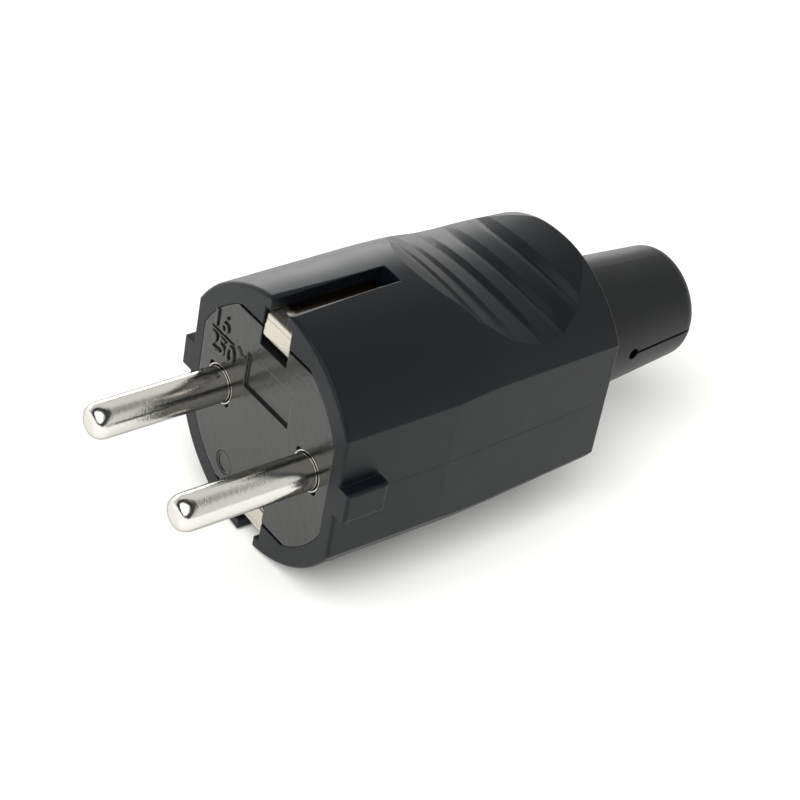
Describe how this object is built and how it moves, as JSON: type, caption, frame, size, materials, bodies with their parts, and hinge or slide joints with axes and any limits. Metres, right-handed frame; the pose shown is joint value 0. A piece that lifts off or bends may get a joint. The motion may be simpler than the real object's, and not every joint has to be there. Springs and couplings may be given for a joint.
{
  "type": "schuko plug",
  "caption": "Straight rewirable mains plug with round contact pins, side earth contacts, a ridged barrel grip and a slit bend sleeve at the cable inlet.",
  "frame": {"origin": "centre of the mating face, halfway between the two contact pins", "axes": "-X along the contact pins, +X towards the cable, +Z along the earth contact axis, Y through both pins"},
  "size_m": [0.085, 0.0358, 0.0366],
  "materials": {
    "hood": "satin",
    "contact_carrier": "satin",
    "pin_left": "polished",
    "pin_right": "polished",
    "terminal_screw_left": "satin",
    "terminal_screw_right": "satin",
    "earth_bow": "polished",
    "earth_clamp_plate": "satin",
    "earth_screw": "satin",
    "cable_clamp_bar": "satin",
    "clamp_screw_left": "satin",
    "clamp_screw_right": "satin",
    "bend_sleeve": "satin"
  },
  "bodies": {
    "root": {"hood": "hood", "contact_carrier": "contact_carrier", "pin_left": "pin_left", "pin_right": "pin_right", "terminal_screw_left": "terminal_screw_left", "terminal_screw_right": "terminal_screw_right", "earth_bow": "earth_bow", "earth_clamp_plate": "earth_clamp_plate", "earth_screw": "earth_screw", "cable_clamp_bar": "cable_clamp_bar", "clamp_screw_left": "clamp_screw_left", "clamp_screw_right": "clamp_screw_right", "bend_sleeve": "bend_sleeve"}
  },
  "joints": []
}
